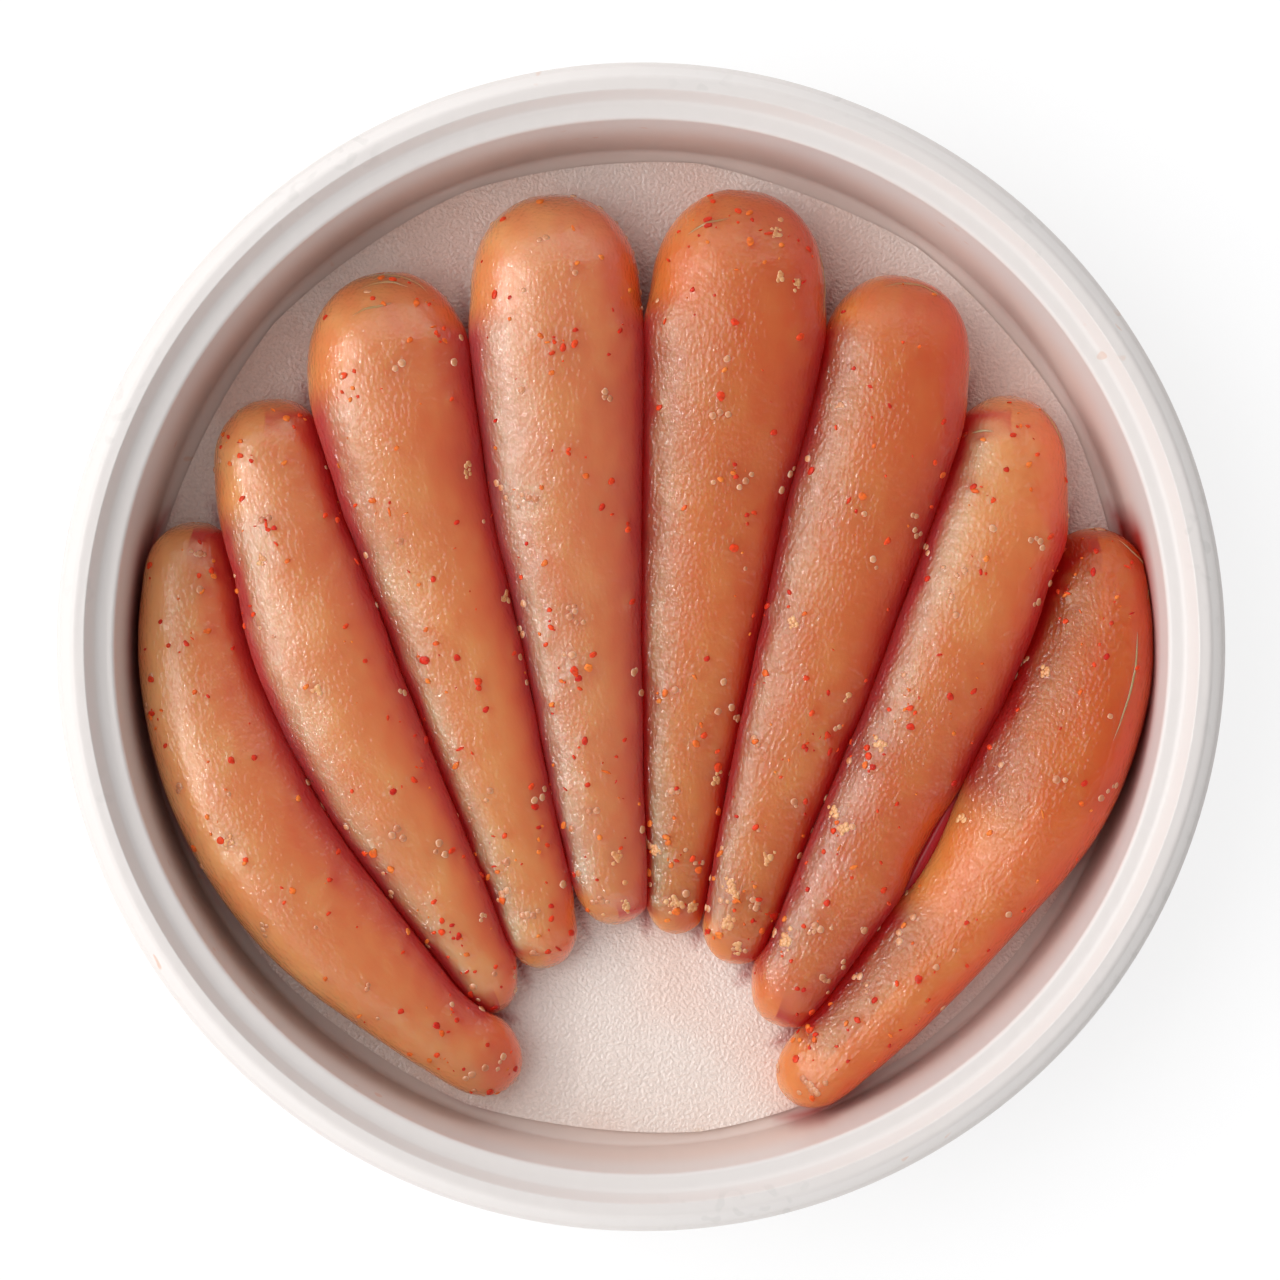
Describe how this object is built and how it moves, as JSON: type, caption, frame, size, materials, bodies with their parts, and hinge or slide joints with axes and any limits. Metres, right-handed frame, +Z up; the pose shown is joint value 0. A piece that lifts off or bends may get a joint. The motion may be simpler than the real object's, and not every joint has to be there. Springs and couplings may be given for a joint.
{
  "type": "tub of mentaiko",
  "caption": "Whole seasoned roe sacs with chilli flakes, laid side by side with their tips together, in a shallow round tub with a flanged rim and a thin floor sheet.",
  "frame": {"origin": "centre of the tub's underside", "axes": "+Z up, +Y towards the blunt heads of the roe sacs, +X to the right seen from above with the heads at the back"},
  "size_m": [0.23, 0.23, 0.0365],
  "materials": {
    "tub": "satin, slightly scuffed foamed white plastic",
    "liner": "thin white film with a fine leathery grain",
    "roe": "wet, translucent salmon orange membrane with red chilli flakes"
  },
  "bodies": {
    "root": {"tub": "tub", "liner_sheet": "liner", "roe_sac_1": "roe", "roe_sac_2": "roe", "roe_sac_3": "roe", "roe_sac_4": "roe", "roe_sac_5": "roe", "roe_sac_6": "roe", "roe_sac_7": "roe", "roe_sac_8": "roe"}
  },
  "joints": []
}
